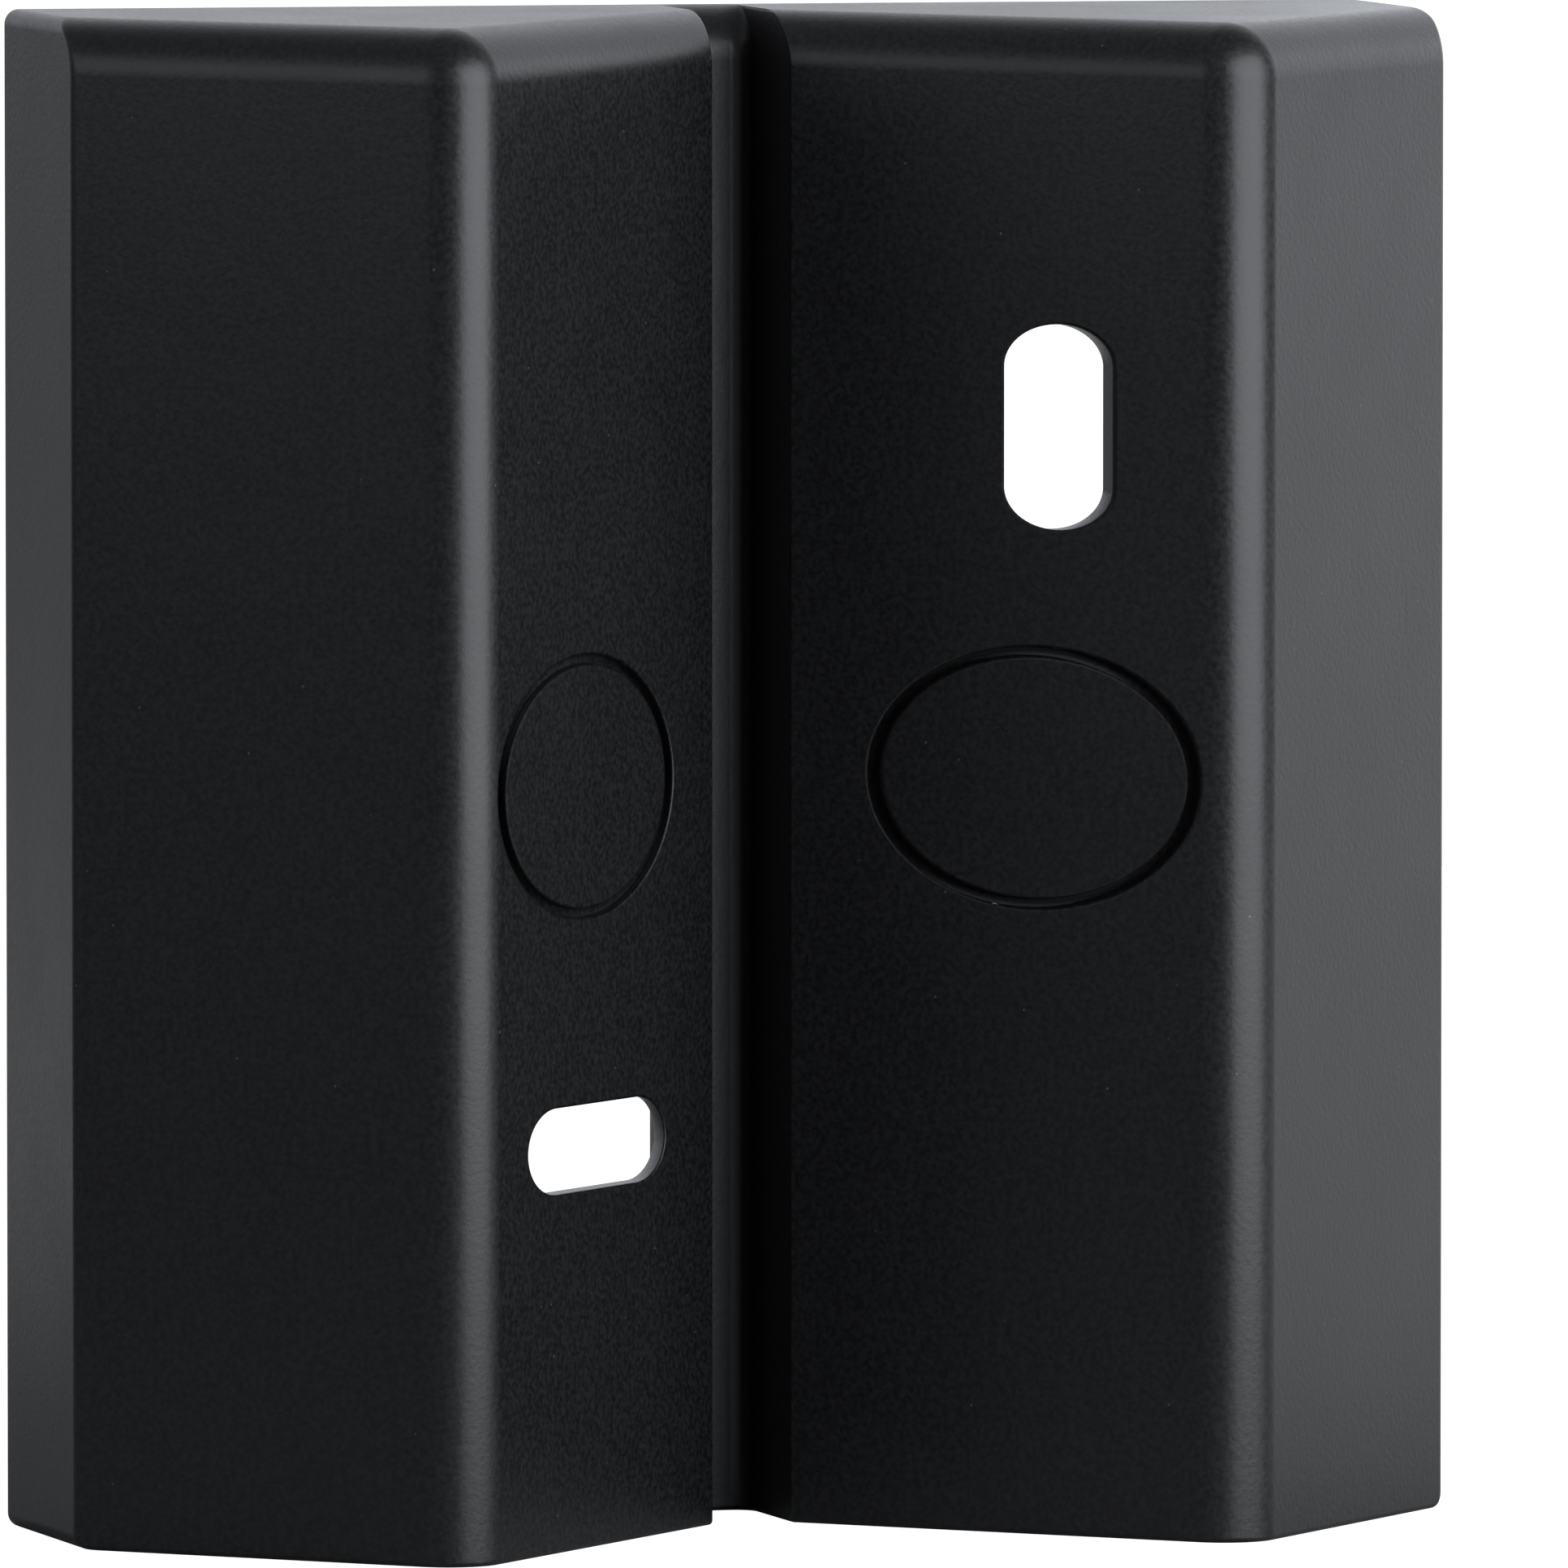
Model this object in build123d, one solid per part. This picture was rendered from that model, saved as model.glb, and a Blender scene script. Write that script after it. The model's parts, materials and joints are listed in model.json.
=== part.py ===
from build123d import *
import math
import os

# Corner-mounting bracket for a wall-mounted outdoor detector, moulded in one piece as a thin-walled shell.
# Frame: X across the bracket, Y from the building corner (-Y) towards the detector (+Y), Z up.
# Origin: centre of the detector rim plane (Y = 0) at the flat underside (Z = 0). Millimetres.

# Overall sizes
body_width = 88.0
body_height = 93.0
side_depth = 14.9        # straight side wall, from the rim plane to where the 45 degree face begins
ridge_spacing = 49.3     # between the two ridge lines, before rounding
top_fall = 1.2           # degrees, mould draft of the top wall, lower towards the building corner

# Shell
wall = 1.6
top_round = 3.4
ridge_over_top = 0.1     # the ridge is rounder than the top edge that runs round it
side_round = 0.9

# Relief channel that clears the arris of an outside building corner
relief_width = 5.0
relief_depth = 8.5
relief_round = 1.2       # inside corners of the channel

# Screw slots, one upright and one level, cut along the mould's draw direction
slot_width = 5.2
slot_length = 12.5
upright_slot_place = (15.5, 67.7)
level_slot_place = (-13.3, 24.4)

# Knock-outs for the cable
knockout_diameter = 16.0
knockout_x = 14.3
knockout_z = 46.3
score_width = 0.6
score_depth = 0.8        # of the ring scored from outside
score_back = 0.3         # of the ring scored from inside, opposite it, with a thin web between

# Screw bosses for the detector's base
boss_diameter = 6.5
boss_pilot = 2.6
boss_pilot_depth = 12.0
boss_side_inset = 7.5    # from the outer side wall to the boss axis
boss_end_inset = 9.0     # from the underside, and from the top, to the boss axis
rib_thickness = 1.2
rib_setback = 1.0        # the ribs stop this far inside the rim plane

# Worked out from the sizes above
half_width = body_width / 2
ridge_round = top_round + ridge_over_top
ridge_x = ridge_spacing / 2
relief_half = relief_width / 2
ridge_depth = side_depth + half_width - ridge_x
valley_depth = ridge_depth - (ridge_x - relief_half)
floor_depth = valley_depth - relief_depth
through = 2 * ridge_depth
boss_x = half_width - boss_side_inset
boss_levels = (boss_end_inset, body_height - boss_end_inset)


def plan_corners(inset):
    """The right-hand half of the plan outline, moved inwards on every wall but the open rim."""
    shoulder = inset * (math.sqrt(2) - 1)
    return [
        (half_width - inset, 0),
        (half_width - inset, shoulder - side_depth),
        (ridge_x, inset * math.sqrt(2) - ridge_depth),
        (relief_half + inset, shoulder - valley_depth),
        (relief_half + inset, inset - floor_depth),
    ]


def round_uprights(solid, corner, radius):
    """Rounds the vertical edges over one plan corner and its mirror image."""
    x, y = corner
    edges = [
        edge
        for edge in solid.edges().filter_by(Axis.Z)
        if math.hypot(abs(edge.center().X) - x, edge.center().Y - y) < 0.01
    ]
    return fillet(edges, radius)


def shell_form(inset):
    """The bracket's outer form or, with an inset, the form of its hollow."""
    corners = plan_corners(inset)
    mirrored = [(-x, y) for x, y in reversed(corners)]
    prism = extrude(make_face(Polyline(*corners, *mirrored, close=True)), body_height)
    above = Box(2 * body_width, 2 * through, body_height, align=(Align.CENTER, Align.CENTER, Align.MIN))
    form = Pos(0, 0, inset) * prism - Pos(0, 0, body_height - inset) * Rot(top_fall, 0, 0) * above

    form = round_uprights(form, corners[2], ridge_round - inset)
    form = round_uprights(form, corners[4], relief_round + inset)
    top_edges = [
        edge
        for edge in form.edges()
        if edge.center().Z > body_height / 2
        and edge.center().Y < -0.1
        and abs(edge.tangent_at(0.5).X) > 0.1
    ]
    return fillet(top_edges, top_round - inset)


def round_side_outline(form):
    """Softens the outline of each flat side wall, along the underside, over the shoulder and along the top."""
    edges = [
        edge
        for edge in form.edges()
        if abs(abs(edge.center().X) - half_width) < 0.01 and edge.center().Y < -0.1
    ]
    return fillet(edges, side_round)


def along_draw(outline, x, z):
    """An outline in X and Z, carried along the mould's draw direction through the whole bracket."""
    return extrude(Plane.XZ * Pos(x, z) * outline, through, both=True)


def screw_boss(side, level):
    """A boss with a rib to the side wall, both run out well past the walls they grow from."""
    boss = along_draw(Circle(boss_diameter / 2), side * boss_x, level)
    rib = Box(boss_side_inset, through, rib_thickness)
    return boss + Pos(side * (boss_x + boss_side_inset / 2), -(rib_setback + through / 2), level) * rib


def pilot_hole(side, level):
    """The blind hole in a boss for a thread-forming screw."""
    hole = Cylinder(boss_pilot / 2, 2 * boss_pilot_depth)
    return Pos(side * boss_x, 0, level) * Rot(90, 0, 0) * hole


outer = round_side_outline(shell_form(0))
skin = outer - shell_form(wall)
score_floor = shell_form(score_depth)
score_ceiling = shell_form(wall - score_back)

shell = skin
for side in (-1, 1):
    for level in boss_levels:
        shell = shell + (screw_boss(side, level) & outer) - pilot_hole(side, level)
shell = shell - along_draw(SlotOverall(slot_length, slot_width, rotation=90), *upright_slot_place)
shell = shell - along_draw(SlotOverall(slot_length, slot_width), *level_slot_place)

# Each knock-out blank is a plug of the wall, held all round by the thin web between its two scored rings
os.makedirs("parts", exist_ok=True)
for side, name in ((-1, "knockout_blank_left"), (1, "knockout_blank_right")):
    window = along_draw(Circle(knockout_diameter / 2), side * knockout_x, knockout_z)
    core = along_draw(Circle(knockout_diameter / 2 - score_width), side * knockout_x, knockout_z)
    plug = skin & window
    ring = plug - core
    shell = shell - window
    export_step(plug - (ring - score_floor) - (ring & score_ceiling), f"parts/{name}.step")
export_step(shell, "parts/bracket_shell.step")
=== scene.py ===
import json
import math
import bmesh
import bpy
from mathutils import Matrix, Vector

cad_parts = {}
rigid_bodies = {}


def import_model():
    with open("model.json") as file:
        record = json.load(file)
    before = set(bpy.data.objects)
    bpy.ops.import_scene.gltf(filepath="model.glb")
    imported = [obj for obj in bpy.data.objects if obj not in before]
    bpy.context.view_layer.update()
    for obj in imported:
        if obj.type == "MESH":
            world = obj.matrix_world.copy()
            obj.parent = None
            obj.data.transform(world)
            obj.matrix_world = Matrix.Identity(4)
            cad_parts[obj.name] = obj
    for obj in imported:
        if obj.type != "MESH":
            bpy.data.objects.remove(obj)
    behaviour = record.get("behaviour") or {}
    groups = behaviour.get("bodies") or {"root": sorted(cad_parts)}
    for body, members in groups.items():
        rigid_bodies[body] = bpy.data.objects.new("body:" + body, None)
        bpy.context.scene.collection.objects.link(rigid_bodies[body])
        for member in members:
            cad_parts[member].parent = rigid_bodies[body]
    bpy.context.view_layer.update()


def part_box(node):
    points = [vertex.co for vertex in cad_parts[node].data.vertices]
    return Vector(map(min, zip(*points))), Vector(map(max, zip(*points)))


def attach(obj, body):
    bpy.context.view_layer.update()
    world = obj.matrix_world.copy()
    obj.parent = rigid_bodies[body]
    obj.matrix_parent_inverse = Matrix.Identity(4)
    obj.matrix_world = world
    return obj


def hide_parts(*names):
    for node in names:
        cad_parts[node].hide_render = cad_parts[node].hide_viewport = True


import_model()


# ---- Bracket shell ----------------------------------------------------------------------------------------
# The bracket is one injection moulding in black ASA, about 1.6 mm thick, hollow and open at its flat rim. In
# plan each half runs from the rim along a straight side wall, out over a 45 degree face to a rounded ridge,
# and back down a second face into the relief channel. Four screw bosses grow out of its inner walls.
mm = 0.001
root_two = math.sqrt(2)
shell_low, shell_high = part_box("bracket_shell")
half_width = shell_high.x
height = shell_high.z
wall = 1.6 * mm
side_depth = 14.9 * mm
ridge_round = 3.5 * mm
top_round = 3.4 * mm
side_round = 0.9 * mm
edge_round = 0.25 * mm
relief_half = 2.5 * mm
relief_depth = 8.5 * mm
relief_round = 1.2 * mm
top_slope = math.tan(math.radians(1.2))
ridge_depth = ridge_round * (root_two - 1) - shell_low.y
ridge_x = half_width - (ridge_depth - side_depth)
valley_depth = ridge_depth - (ridge_x - relief_half)
floor_depth = valley_depth - relief_depth


def round_corners(points, corners):
    """A line whose corners become arcs, each with its own radius and number of steps."""
    line = [points[0]]
    for before, corner, after, (radius, steps) in zip(points, points[1:], points[2:], corners):
        back = (before - corner).normalized()
        ahead = (after - corner).normalized()
        half_angle = back.angle(ahead) / 2
        centre = corner + (back + ahead).normalized() * radius / math.sin(half_angle)
        start = corner + back * radius / math.tan(half_angle) - centre
        finish = corner + ahead * radius / math.tan(half_angle) - centre
        sweep = start.angle_signed(finish)
        for step in range(steps + 1):
            angle = math.atan2(start.y, start.x) - sweep * step / steps
            line.append(centre + radius * Vector((math.cos(angle), math.sin(angle))))
    line.append(points[-1])
    return line


def plan_outline(inset, face_shift, side_shift, rim_y):
    """The plan from rim to rim, every wall moved in by the inset, and faces or sides by a shift more."""
    side_x = half_width - inset - side_shift
    channel_x = relief_half + inset
    face_move = (inset + face_shift) * root_two
    half = [
        Vector((side_x, rim_y)),
        Vector((side_x, face_move - side_depth - half_width + side_x)),
        Vector((ridge_x, face_move - ridge_depth)),
        Vector((channel_x, face_move - valley_depth - inset)),
        Vector((channel_x, inset + face_shift - floor_depth)),
        Vector((0, inset + face_shift - floor_depth)),
    ]
    corners = [
        (side_round, 6),
        (ridge_round - inset - face_shift, 18),
        (edge_round, 3),
        (relief_round + inset, 10),
    ]
    right = round_corners(half, corners)[:-1]
    return right + [Vector((-point.x, point.y)) for point in reversed(right)]


def side_drawn_in(past):
    """How far a side wall has drawn in, at a distance past the start of its rounded edge."""
    return side_round - math.sqrt(side_round ** 2 - min(max(0, past), side_round) ** 2)


def stacked_outlines(inset, rim_y, underside):
    """Outlines from the underside to the top wall, drawing in over the rounded top edge."""
    crown = top_round - inset
    top = height - inset
    levels = [(z, inset + shift, 0, max(0, side_drawn_in(side_round - z) - shift)) for z, shift in underside]
    levels.append((top - crown, inset, 0, 0))
    for step in range(1, 19):
        angle = math.radians(5 * step)
        z = top - crown + crown * math.sin(angle)
        levels.append((z, inset, crown * (1 - math.cos(angle)), side_drawn_in(z - (top - side_round))))
    rings = []
    for z, inward, face_shift, side_shift in levels:
        slope = top_slope if z > height / 2 else 0
        outline = plan_outline(inward, face_shift, side_shift, rim_y)
        rings.append([Vector((point.x, point.y, z + slope * point.y)) for point in outline])
    return rings


def link_mesh(mesh_data, name):
    """Puts finished mesh data into the scene as an object of that name."""
    mesh = bpy.data.meshes.new(name)
    mesh_data.to_mesh(mesh)
    mesh_data.free()
    piece = bpy.data.objects.new(name, mesh)
    bpy.context.scene.collection.objects.link(piece)
    return piece


def form_between(rings, name):
    """A closed body from stacked outlines that all start and end in the rim plane."""
    form = bmesh.new()
    rows = [[form.verts.new(point) for point in ring] for ring in rings]
    for lower, upper in zip(rows, rows[1:]):
        for i in range(len(lower) - 1):
            form.faces.new((lower[i], lower[i + 1], upper[i + 1], upper[i]))
    form.faces.new(rows[0])
    form.faces.new(rows[-1])
    form.faces.new([row[0] for row in rows] + [row[-1] for row in reversed(rows)])
    bmesh.ops.recalc_face_normals(form, faces=form.faces)
    return link_mesh(form, name)


def round_off(radius, degrees):
    """Distances along and across an edge that is rounded off, at an angle round its arc."""
    angle = math.radians(degrees)
    return radius * (1 - math.sin(angle)), radius * (1 - math.cos(angle))


bottom_edge = [round_off(edge_round, turn) for turn in (90, 60, 30, 0)]
bottom_edge += [(round_off(side_round, turn)[0], 0) for turn in (40, 30, 20, 10, 0)]
outer_form = form_between(stacked_outlines(0, 0, bottom_edge), "shell_moulding")
past_rim = 2 * mm
hollow_form = form_between(stacked_outlines(wall, past_rim, [(wall, 0)]), "shell_hollow")
boss_limit = form_between(stacked_outlines(wall / 2, 0, [(wall / 2, 0)]), "boss_limit")

# The two notch faces have a screw slot each, upright on the right and level on the left, and a round opening
# each for the cable. All are cut along the mould's draw, square to the rim, and their edges are softened.
slot_half = 2.6 * mm
slot_straight = 3.65 * mm
slot_places = {1: (15.5 * mm, 67.7 * mm), -1: (-13.3 * mm, 24.4 * mm)}
lip_round = 0.2 * mm
blank_low, blank_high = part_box("knockout_blank_right")
opening_radius = (blank_high.z - blank_low.z) / 2
opening_x = (blank_high.x + blank_low.x) / 2
opening_z = (blank_high.z + blank_low.z) / 2


def face_point(x, z, depth):
    """The point of a notch face over x and z, or one at a depth under its surface."""
    return Vector((x, depth * root_two - valley_depth - (abs(x) - relief_half), z))


def round_outline(centre_x, centre_z, radius, steps=96):
    """Points round a circle, as the mould's draw sees it."""
    turns = [2 * math.pi * (step + 0.5) / steps for step in range(steps)]
    return [(centre_x + radius * math.cos(turn), centre_z + radius * math.sin(turn)) for turn in turns]


def slot_outline(side, radius):
    """Points round a screw slot, which has two half-round ends."""
    x, z = slot_places[side]
    across, along = (0, slot_straight) if side > 0 else (slot_straight, 0)
    return [(x + dx + math.copysign(across, dx), z + dz + math.copysign(along, dz))
            for dx, dz in round_outline(0, 0, radius, 64)]


def body_along_draw(outlines, depths, name):
    """A closed body through a notch face, from an outline at each depth under the surface."""
    body = bmesh.new()
    rows = [[body.verts.new(face_point(x, z, depth)) for x, z in outline]
            for outline, depth in zip(outlines, depths)]
    for upper, lower in zip(rows, rows[1:]):
        for i in range(len(upper)):
            j = (i + 1) % len(upper)
            body.faces.new((upper[i], upper[j], lower[j], lower[i]))
    body.faces.new(rows[0])
    body.faces.new(rows[-1])
    bmesh.ops.recalc_face_normals(body, faces=body.faces)
    return link_mesh(body, name)


def lip(radius, depth, inward):
    """Radii and depths of the softened edge where an opening meets a surface, from the surface in."""
    arc = [round_off(lip_round, turn) for turn in (78, 52, 26, 0)]
    return [(radius + across, depth + inward * along) for along, across in arc]


openings = bpy.data.collections.new("openings")
bpy.context.scene.collection.children.link(openings)
flare = 4 * lip_round
for side in (1, -1):
    front = [(slot_half + flare, -lip_round)] + lip(slot_half, 0, 1)
    back = lip(slot_half, wall, -1)[::-1] + [(slot_half + flare, wall + lip_round)]
    outlines = [slot_outline(side, radius) for radius, depth in front + back]
    slot_cut = body_along_draw(outlines, [depth for radius, depth in front + back], "slot_cut")
    front = [(opening_radius + flare, -lip_round)] + lip(opening_radius, 0, 1)
    back = [(opening_radius, wall + lip_round)]
    outlines = [round_outline(side * opening_x, opening_z, radius) for radius, depth in front + back]
    cable_cut = body_along_draw(outlines, [depth for radius, depth in front + back], "cable_cut")
    for cut in (slot_cut, cable_cut):
        bpy.context.scene.collection.objects.unlink(cut)
        openings.objects.link(cut)


def linear(hex_colour):
    """An sRGB hex colour as the linear colour that shaders take."""
    values = [int(hex_colour[i:i + 2], 16) / 255 for i in (1, 3, 5)]
    return [v / 12.92 if v <= 0.04045 else ((v + 0.055) / 1.055) ** 2.4 for v in values] + [1]


def add_node(tree, kind, values=None, links=None, **settings):
    """Adds a node, with values for its inputs, links into them, and settings of its own."""
    node = tree.nodes.new(kind)
    for name, value in settings.items():
        setattr(node, name, value)
    for name, value in (values or {}).items():
        node.inputs[name].default_value = value
    for name, source in (links or {}).items():
        for output in source if isinstance(source, list) else [source]:
            tree.links.new(output, node.inputs[name])
    return node


# Moulded ASA, black all through. The mould was spark-eroded, which leaves a matte grain of about a third of a
# millimetre that mottles the skin and spreads each highlight softly. The skin has flowed unevenly, so the sheen
# drifts a little over a few millimetres, and a few specks of dust lie on it.
moulded_asa = bpy.data.materials.new("moulded_asa")
moulded_asa.use_nodes = True
tree = moulded_asa.node_tree
tree.nodes.clear()
place = add_node(tree, "ShaderNodeTexCoord").outputs["Object"]
grain = add_node(tree, "ShaderNodeTexNoise", {"Scale": 1 / (0.34 * mm), "Detail": 2.0, "Roughness": 0.55},
                 {"Vector": place})
mottle = add_node(tree, "ShaderNodeMapRange", {"From Min": 0.36, "From Max": 0.64},
                  {"Value": grain.outputs["Fac"]})
flow = add_node(tree, "ShaderNodeTexNoise", {"Scale": 1 / (7 * mm), "Detail": 2.0}, {"Vector": place})
dust = add_node(tree, "ShaderNodeTexVoronoi", {"Scale": 1 / (2.6 * mm), "Randomness": 1.0}, {"Vector": place})
speck = add_node(tree, "ShaderNodeMapRange", {"From Min": 0.035, "From Max": 0.02},
                 {"Value": dust.outputs["Distance"]})
tone = add_node(tree, "ShaderNodeMix", {"A": linear("#060607"), "B": linear("#171719")},
                {"Factor": mottle.outputs["Result"]}, data_type="RGBA")
dusted = add_node(tree, "ShaderNodeMix", {"B": linear("#4a4a4c")},
                  {"Factor": speck.outputs["Result"], "A": tone.outputs["Result"]}, data_type="RGBA")
sheen = add_node(tree, "ShaderNodeMapRange", {"From Min": 0.3, "From Max": 0.7, "To Min": 0.34, "To Max": 0.37},
                 {"Value": flow.outputs["Fac"]})
matte = add_node(tree, "ShaderNodeMath", {1: 0.05}, {0: mottle.outputs["Result"], 2: sheen.outputs["Result"]},
                 operation="MULTIPLY_ADD")
relief = add_node(tree, "ShaderNodeBump", {"Strength": 1.0, "Distance": 0.014 * mm},
                  {"Height": grain.outputs["Fac"]})
skin = add_node(tree, "ShaderNodeBsdfPrincipled", {"IOR": 1.5},
                {"Base Color": dusted.outputs["Result"], "Roughness": matte.outputs["Value"],
                 "Normal": relief.outputs["Normal"]})
add_node(tree, "ShaderNodeOutputMaterial", links={"Surface": skin.outputs["BSDF"]})

# The node tree takes the hollow out of the moulding, sets the four bosses and their ribs in its corners, and
# cuts the pilot holes, slots and cable openings.
boss_diameter = 6.5 * mm
pilot_diameter = 2.6 * mm
pilot_depth = 12 * mm
boss_side_inset = 7.5 * mm
boss_end_inset = 9 * mm
moulding = bpy.data.node_groups.new("moulding", "GeometryNodeTree")
moulding.interface.new_socket("Geometry", in_out="OUTPUT", socket_type="NodeSocketGeometry")
moulding.interface.new_socket("Geometry", in_out="INPUT", socket_type="NodeSocketGeometry")
sizes = {
    "Hollow": (hollow_form, "Object"),
    "Boss limit": (boss_limit, "Object"),
    "Openings": (openings, "Collection"),
    "Material": (moulded_asa, "Material"),
    "Boss spacing across": (2 * (half_width - boss_side_inset), "Float"),
    "Boss spacing up": (height - 2 * boss_end_inset, "Float"),
    "Boss centre height": (height / 2, "Float"),
    "Boss radius": (boss_diameter / 2, "Float"),
    "Boss reach": (40 * mm, "Float"),
    "Pilot radius": (pilot_diameter / 2, "Float"),
    "Pilot length": (2 * pilot_depth, "Float"),
    "Rib width": (boss_side_inset, "Float"),
    "Rib thickness": (1.2 * mm, "Float"),
    "Rib setback": (1.0 * mm, "Float"),
}
for name, (value, kind) in sizes.items():
    moulding.interface.new_socket(name, in_out="INPUT", socket_type="NodeSocket" + kind)
given = add_node(moulding, "NodeGroupInput").outputs


def calculate(operation, first, second):
    """One arithmetic step between two values or sockets of the moulding's tree."""
    node = add_node(moulding, "ShaderNodeMath", operation=operation)
    for socket, value in zip(node.inputs, (first, second)):
        if isinstance(value, bpy.types.NodeSocket):
            moulding.links.new(value, socket)
        else:
            socket.default_value = value
    return node.outputs["Value"]


grid = add_node(moulding, "GeometryNodeMeshGrid", {"Vertices X": 2, "Vertices Y": 2},
                {"Size X": given["Boss spacing across"], "Size Y": given["Boss spacing up"]})
grid_centre = add_node(moulding, "ShaderNodeCombineXYZ", links={"Z": given["Boss centre height"]})
places = add_node(moulding, "GeometryNodeTransform", {"Rotation": (math.pi / 2, 0, 0)},
                  {"Geometry": grid.outputs["Mesh"], "Translation": grid_centre.outputs["Vector"]})
across = add_node(moulding, "ShaderNodeSeparateXYZ",
                  links={"Vector": add_node(moulding, "GeometryNodeInputPosition").outputs["Position"]})
on_left = calculate("LESS_THAN", across.outputs["X"], 0.0)
half_turn = add_node(moulding, "ShaderNodeCombineXYZ", links={"Y": calculate("MULTIPLY", on_left, math.pi)})

post = add_node(moulding, "GeometryNodeMeshCylinder", {"Vertices": 64},
                {"Radius": given["Boss radius"], "Depth": given["Boss reach"]})
post_middle = add_node(moulding, "ShaderNodeCombineXYZ",
                       links={"Y": calculate("MULTIPLY", given["Boss reach"], -0.5)})
post_placed = add_node(moulding, "GeometryNodeTransform", {"Rotation": (math.pi / 2, 0, 0)},
                       {"Geometry": post.outputs["Mesh"], "Translation": post_middle.outputs["Vector"]})
rib_size = add_node(moulding, "ShaderNodeCombineXYZ",
                    links={"X": given["Rib width"], "Y": given["Boss reach"], "Z": given["Rib thickness"]})
rib_back = calculate("ADD", given["Rib setback"], calculate("MULTIPLY", given["Boss reach"], 0.5))
rib_middle = add_node(moulding, "ShaderNodeCombineXYZ",
                      links={"X": calculate("MULTIPLY", given["Rib width"], 0.5),
                             "Y": calculate("MULTIPLY", rib_back, -1.0)})
rib = add_node(moulding, "GeometryNodeMeshCube", links={"Size": rib_size.outputs["Vector"]})
rib_placed = add_node(moulding, "GeometryNodeTransform",
                      links={"Geometry": rib.outputs["Mesh"], "Translation": rib_middle.outputs["Vector"]})
boss = add_node(moulding, "GeometryNodeMeshBoolean",
                links={"Mesh 2": [post_placed.outputs["Geometry"], rib_placed.outputs["Geometry"]]},
                operation="UNION", solver="EXACT")
bosses = add_node(moulding, "GeometryNodeInstanceOnPoints",
                  links={"Points": places.outputs["Geometry"], "Instance": boss.outputs["Mesh"],
                         "Rotation": half_turn.outputs["Vector"]})
bosses_real = add_node(moulding, "GeometryNodeRealizeInstances",
                       links={"Geometry": bosses.outputs["Instances"]})
limit = add_node(moulding, "GeometryNodeObjectInfo", links={"Object": given["Boss limit"]})
bosses_in = add_node(moulding, "GeometryNodeMeshBoolean",
                     links={"Mesh 2": [bosses_real.outputs["Geometry"], limit.outputs["Geometry"]]},
                     operation="INTERSECT", solver="EXACT")
pilot = add_node(moulding, "GeometryNodeMeshCylinder", {"Vertices": 40},
                 {"Radius": given["Pilot radius"], "Depth": given["Pilot length"]})
pilot_placed = add_node(moulding, "GeometryNodeTransform", {"Rotation": (math.pi / 2, 0, 0)},
                        {"Geometry": pilot.outputs["Mesh"]})
pilots = add_node(moulding, "GeometryNodeInstanceOnPoints",
                  links={"Points": places.outputs["Geometry"], "Instance": pilot_placed.outputs["Geometry"]})
pilots_real = add_node(moulding, "GeometryNodeRealizeInstances",
                       links={"Geometry": pilots.outputs["Instances"]})
hollow = add_node(moulding, "GeometryNodeObjectInfo", links={"Object": given["Hollow"]})
hollowed = add_node(moulding, "GeometryNodeMeshBoolean",
                    links={"Mesh 1": given["Geometry"], "Mesh 2": hollow.outputs["Geometry"]},
                    operation="DIFFERENCE", solver="EXACT")
filled = add_node(moulding, "GeometryNodeMeshBoolean",
                  links={"Mesh 2": [hollowed.outputs["Mesh"], bosses_in.outputs["Mesh"]]},
                  operation="UNION", solver="EXACT")
cuts = add_node(moulding, "GeometryNodeCollectionInfo", links={"Collection": given["Openings"]})
cuts_real = add_node(moulding, "GeometryNodeRealizeInstances", links={"Geometry": cuts.outputs["Instances"]})
opened = add_node(moulding, "GeometryNodeMeshBoolean",
                  links={"Mesh 1": filled.outputs["Mesh"],
                         "Mesh 2": [pilots_real.outputs["Geometry"], cuts_real.outputs["Geometry"]]},
                  operation="DIFFERENCE", solver="EXACT")
whole = add_node(moulding, "GeometryNodeRealizeInstances", links={"Geometry": opened.outputs["Mesh"]})
coloured = add_node(moulding, "GeometryNodeSetMaterial",
                    links={"Geometry": whole.outputs["Geometry"], "Material": given["Material"]})
add_node(moulding, "NodeGroupOutput", links={"Geometry": coloured.outputs["Geometry"]})

maker = outer_form.modifiers.new("moulding", "NODES")
maker.node_group = moulding
for item in moulding.interface.items_tree:
    if item.in_out == "INPUT" and item.name in sizes:
        maker[item.identifier] = sizes[item.name][0]


same_place = 0.001 * mm
crease_angle = math.radians(35)


def finish_mesh(piece):
    """Turns a piece and its modifiers into a plain mesh, smooth but for the edges over the crease angle."""
    shown = piece.evaluated_get(bpy.context.evaluated_depsgraph_get())
    mesh = bpy.data.meshes.new_from_object(shown)
    piece.modifiers.clear()
    piece.data = mesh
    tidy = bmesh.new()
    tidy.from_mesh(mesh)
    bmesh.ops.remove_doubles(tidy, verts=tidy.verts, dist=same_place)
    tidy.to_mesh(mesh)
    tidy.free()
    mesh.shade_smooth()
    mesh.set_sharp_from_angle(angle=crease_angle)
    weighted = piece.modifiers.new("even_shading", "WEIGHTED_NORMAL")
    weighted.keep_sharp = True
    shown = piece.evaluated_get(bpy.context.evaluated_depsgraph_get())
    piece.data = bpy.data.meshes.new_from_object(shown)
    piece.modifiers.clear()
    return piece


bracket_shell = finish_mesh(outer_form)
for helper in [hollow_form, boss_limit] + list(openings.objects):
    bpy.data.objects.remove(helper)
bpy.data.collections.remove(openings)
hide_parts("bracket_shell")
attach(bracket_shell, "root")


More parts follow.
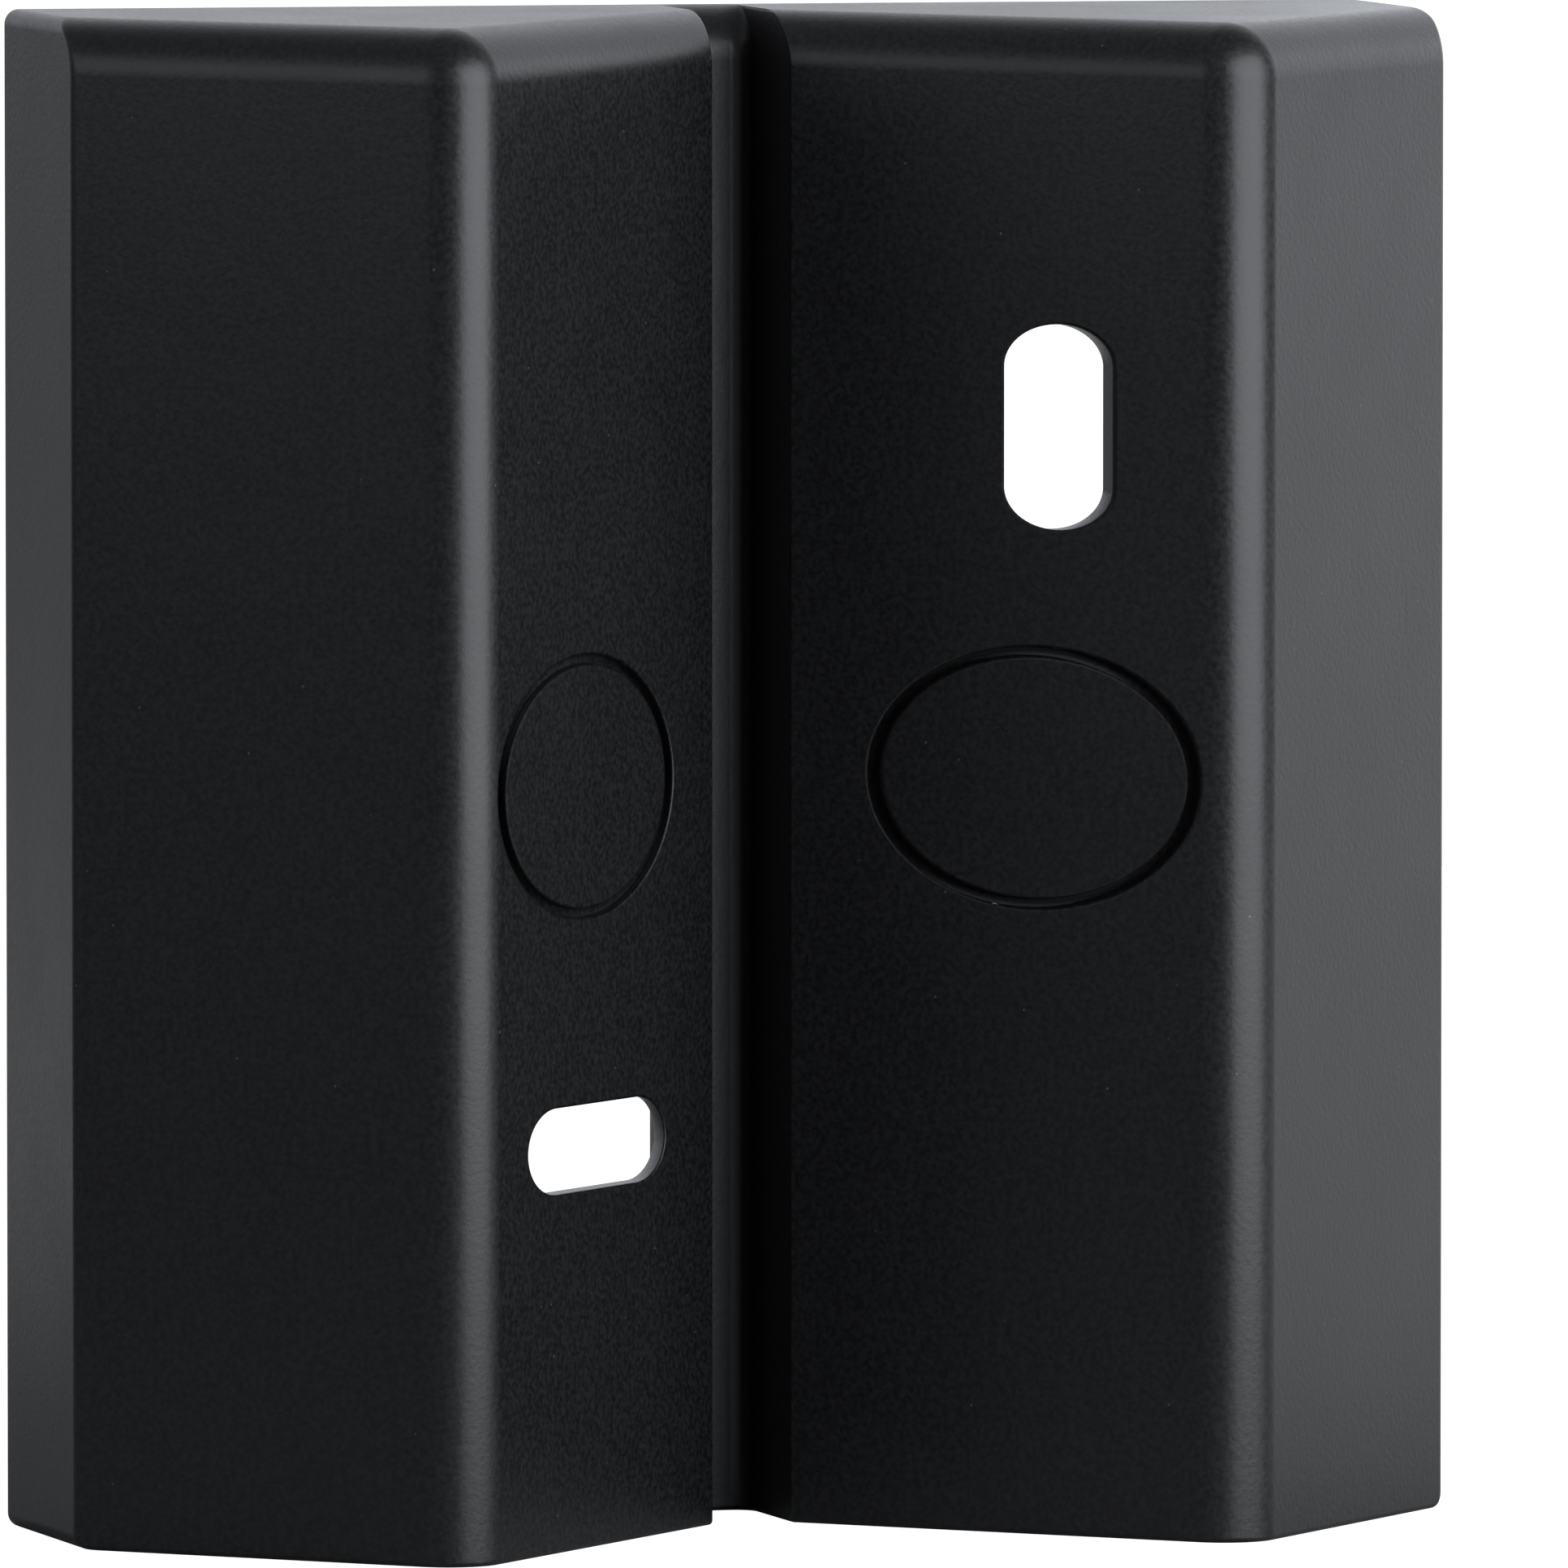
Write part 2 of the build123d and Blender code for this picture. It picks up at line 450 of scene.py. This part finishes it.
# ---- Knock-out blanks -------------------------------------------------------------------------------------
# A round blank fills each cable opening until the fitter breaks it out. It is moulded with the shell, and is
# scored all round from outside and from inside, so only a thin web holds it and it snaps out cleanly.
score_width = 0.6 * mm
score_depth = 0.8 * mm
score_back = 0.3 * mm
clearance = 0.01 * mm
disc_radius = opening_radius - score_width
web_edge = opening_radius - clearance


def scored_side(depth, disc_round, root_round):
    """Radii and depths over one side of a blank, from its disc out over the scored ring to the web's edge."""
    return [
        (disc_radius - disc_round, 0),
        (disc_radius - 0.5 * disc_round, 0.13 * disc_round),
        (disc_radius - 0.13 * disc_round, 0.5 * disc_round),
        (disc_radius, disc_round),
        (disc_radius, depth - root_round),
        (disc_radius + 0.3 * root_round, depth - 0.3 * root_round),
        (disc_radius + root_round, depth),
        (web_edge - root_round, depth),
        (web_edge - 0.3 * root_round, depth - 0.3 * root_round),
        (web_edge, depth - root_round),
    ]


outside = scored_side(score_depth, disc_round=0.2 * mm, root_round=0.15 * mm)
inside = scored_side(score_back, disc_round=0.12 * mm, root_round=0.1 * mm)
blank_profile = outside + [(radius, wall - depth) for radius, depth in reversed(inside)]
for side, node_name in ((-1, "knockout_blank_left"), (1, "knockout_blank_right")):
    outlines = [round_outline(side * opening_x, opening_z, radius, 128) for radius, depth in blank_profile]
    blank = body_along_draw(outlines, [depth for radius, depth in blank_profile], node_name + "_moulded")
    blank.data.materials.append(moulded_asa)
    finish_mesh(blank)
    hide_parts(node_name)
    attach(blank, "root")


# ---- Floor ------------------------------------------------------------------------------------------------
# A plain pale table that the bracket stands on, wide enough to run out of sight on every side. The camera sees
# it as plain white.
# Close behind the bracket on the right a glow is painted into it, a painted pool of light that gives off light
# onto the bracket though no lamp shines there.
reach = 20
table_corners = [(-reach, -reach, 0), (reach, -reach, 0), (reach, reach, 0), (-reach, reach, 0)]
floor_mesh = bpy.data.meshes.new("floor")
floor_mesh.from_pydata(table_corners, [], [(0, 1, 2, 3)])
floor = bpy.data.objects.new("floor", floor_mesh)
bpy.context.scene.collection.objects.link(floor)
pale_table = bpy.data.materials.new("pale_table")
pale_table.use_nodes = True
tree = pale_table.node_tree
tree.nodes.clear()
seen = add_node(tree, "ShaderNodeLightPath").outputs["Is Camera Ray"]
spot = add_node(tree, "ShaderNodeTexCoord").outputs["Object"]
# Painted light: a glowing patch on the table behind the bracket on the right, fading out with distance, seen by
# every ray but the camera's.
behind_right = (0.7, 0.7, 0)
behind = add_node(tree, "ShaderNodeVectorMath", {1: behind_right}, {0: spot}, operation="DOT_PRODUCT")
away = add_node(tree, "ShaderNodeVectorMath", links={0: spot}, operation="LENGTH")
painted_glow_behind = add_node(tree, "ShaderNodeMapRange", {"From Min": 0.02, "From Max": 0.14},
                   {"Value": behind.outputs["Value"]})
painted_glow_nearby = add_node(tree, "ShaderNodeMapRange",
                  {"From Min": 0.25, "From Max": 0.9, "To Min": 0.55, "To Max": 0.0},
                  {"Value": away.outputs["Value"]})
painted_glow = add_node(tree, "ShaderNodeMath", links={0: painted_glow_behind.outputs["Result"], 1: painted_glow_nearby.outputs["Result"]},
                 operation="MULTIPLY")
white_and_painted_glow = add_node(tree, "ShaderNodeMath", links={0: seen, 1: painted_glow.outputs["Value"]},
                      operation="MAXIMUM")
table_skin = add_node(tree, "ShaderNodeBsdfPrincipled",
                      {"Base Color": linear("#949494"), "Roughness": 0.9, "Emission Color": (1, 1, 1, 1)},
                      {"Emission Strength": white_and_painted_glow.outputs["Value"]})
add_node(tree, "ShaderNodeOutputMaterial", links={"Surface": table_skin.outputs["BSDF"]})
floor_mesh.materials.append(pale_table)


# ---- Light ------------------------------------------------------------------------------------------------
# Soft studio light, all of it slightly cool. The room is dim in front and brighter behind on the right. A
# strong panel stands close by on the right of the notch, a larger and weaker one behind on the right, and a
# small one above on the left.
room = bpy.data.worlds.new("room")
room.use_nodes = True
bpy.context.scene.world = room
tree = room.node_tree
tree.nodes.clear()
seen = add_node(tree, "ShaderNodeLightPath").outputs["Is Camera Ray"]
direction = add_node(tree, "ShaderNodeTexCoord").outputs["Generated"]
brightest_way = (0.407, 0.914, 0)
backwards = add_node(tree, "ShaderNodeVectorMath", {1: brightest_way}, {0: direction},
                     operation="DOT_PRODUCT")
glow = add_node(tree, "ShaderNodeMapRange",
                {"From Min": 0.42, "From Max": 1.0, "To Min": 0.21, "To Max": 1.25},
                {"Value": backwards.outputs["Value"]})
dim_room = add_node(tree, "ShaderNodeBackground", {"Color": (0.96, 0.99, 1.05, 1)},
                    {"Strength": glow.outputs["Result"]})
white_backing = add_node(tree, "ShaderNodeBackground", {"Color": (1, 1, 1, 1), "Strength": 1.0})
backing = add_node(tree, "ShaderNodeMixShader",
                   links={"Fac": seen, 1: dim_room.outputs["Background"],
                          2: white_backing.outputs["Background"]})
add_node(tree, "ShaderNodeOutputWorld", links={"Surface": backing.outputs["Shader"]})


def way_out(turn, rise):
    """The direction at a bearing in degrees to the right of the notch's axis, and at a rise above level."""
    bearing = math.radians(turn)
    lift = math.radians(rise)
    return Vector((math.sin(bearing) * math.cos(lift), -math.cos(bearing) * math.cos(lift), math.sin(lift)))


def soft_panel(name, turn, rise, distance, across, up, radiance):
    """A soft light panel out in a direction from the bracket's middle, facing it."""
    panel = bpy.data.lights.new(name, "AREA")
    panel.shape = "RECTANGLE"
    panel.size = across
    panel.size_y = up
    panel.energy = radiance * across * up * math.pi
    panel.color = (0.955, 1.0, 1.045)
    lamp = bpy.data.objects.new(name, panel)
    way = way_out(turn, rise)
    lamp.location = Vector((0, 0, height / 2)) + way * distance
    lamp.rotation_euler = way.to_track_quat("Z", "Y").to_euler()
    lamp.visible_camera = False
    bpy.context.scene.collection.objects.link(lamp)


soft_panel("key_panel", turn=33, rise=16, distance=0.24, across=0.265, up=0.26, radiance=4.0)
soft_panel("right_panel", turn=130, rise=2, distance=0.55, across=0.55, up=0.44, radiance=1.15)
soft_panel("left_panel", turn=-72, rise=24, distance=0.26, across=0.16, up=0.10, radiance=1.1)
bpy.context.scene.view_settings.view_transform = "Standard"


# ---- Camera -----------------------------------------------------------------------------------------------
# A long lens from the left of the notch's axis, a little above the middle of the bracket.
camera_data = bpy.data.cameras.new("camera")
camera_data.sensor_width = 36
camera_data.lens = 469.0
camera_data.clip_start = 0.05
camera_data.clip_end = 60
camera = bpy.data.objects.new("camera", camera_data)
aim = Vector((1.15, -15.0, 45.65)) * mm
camera_distance = 1249 * mm
viewpoint = way_out(turn=-17.93, rise=3.49)
camera.location = aim + viewpoint * camera_distance
camera.rotation_euler = viewpoint.to_track_quat("Z", "Y").to_euler()
bpy.context.scene.collection.objects.link(camera)
bpy.context.scene.camera = camera
